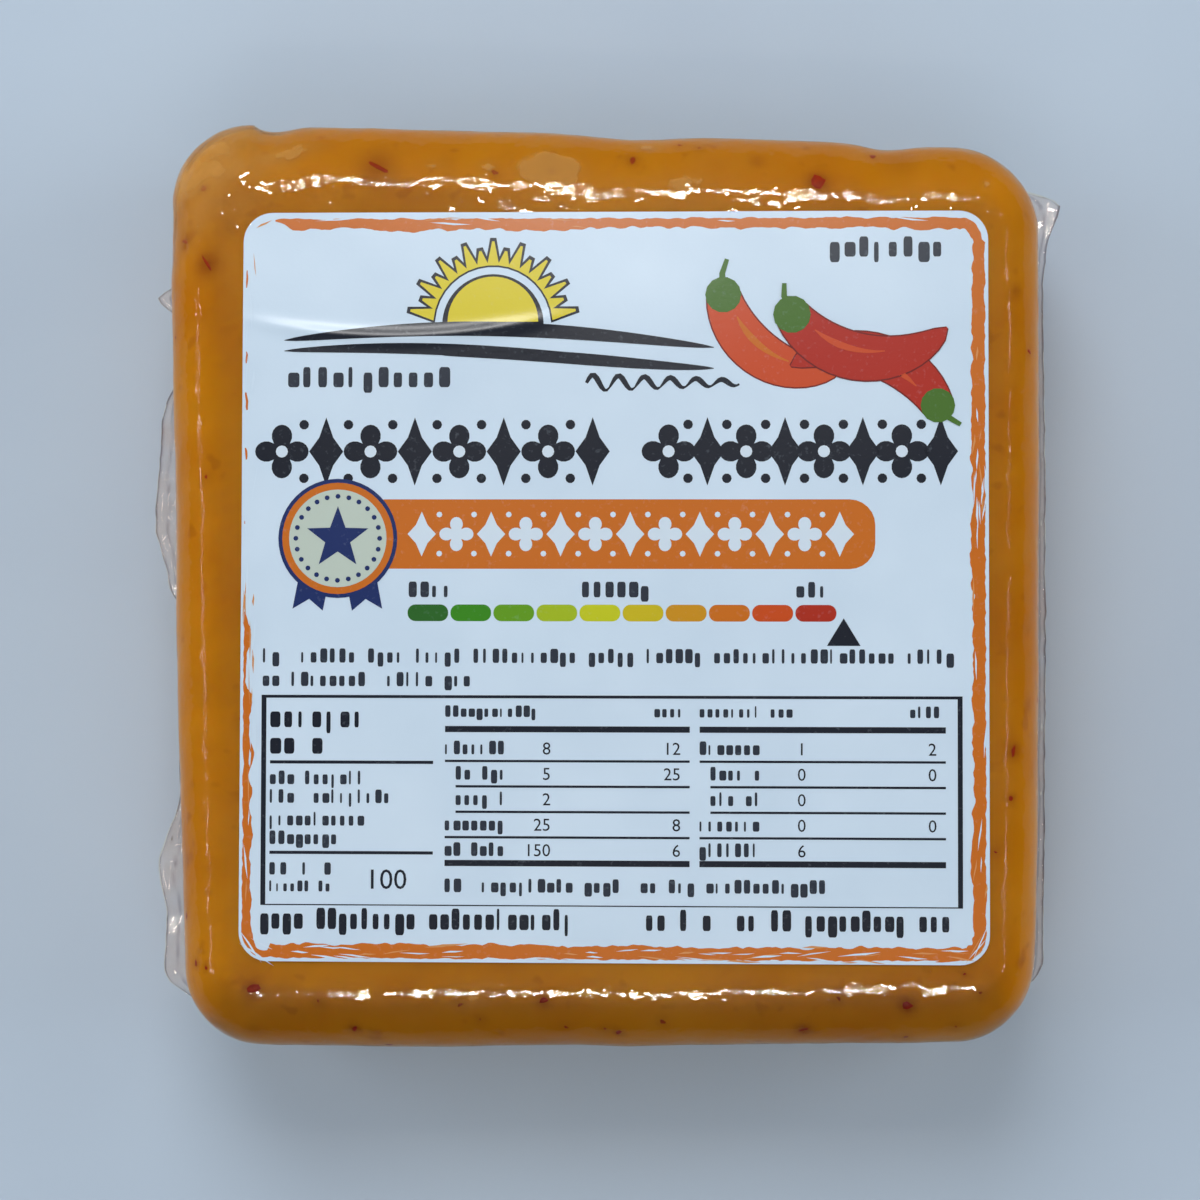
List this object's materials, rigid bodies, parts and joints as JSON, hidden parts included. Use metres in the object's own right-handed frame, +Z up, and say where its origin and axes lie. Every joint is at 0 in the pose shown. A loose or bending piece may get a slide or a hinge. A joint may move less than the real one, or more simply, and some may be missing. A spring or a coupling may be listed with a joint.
{
  "type": "film-wrapped block of pepper cheddar",
  "caption": "Square block of amber pepper cheddar with rounded edges, sealed tight in clear film with crinkled side fins, with a square printed label on top.",
  "frame": {"origin": "middle of the flat face that the block rests on", "axes": "+Z up through the label, +Y towards the label's top edge, +X towards its right edge"},
  "size_m": [0.0969, 0.0973, 0.0256],
  "materials": {
    "cheese": "smooth amber cheddar seen through tight clear film",
    "film": "clear glossy shrink film, thin and crinkled at its fins",
    "chilli": "moist dark red pepper skin",
    "label_paper": "semi-gloss white label stock",
    "label_print": "semi-gloss ink, orange, black and mixed colours"
  },
  "bodies": {
    "root": {"film_pack": "cheese", "label": "label_paper"}
  },
  "joints": []
}
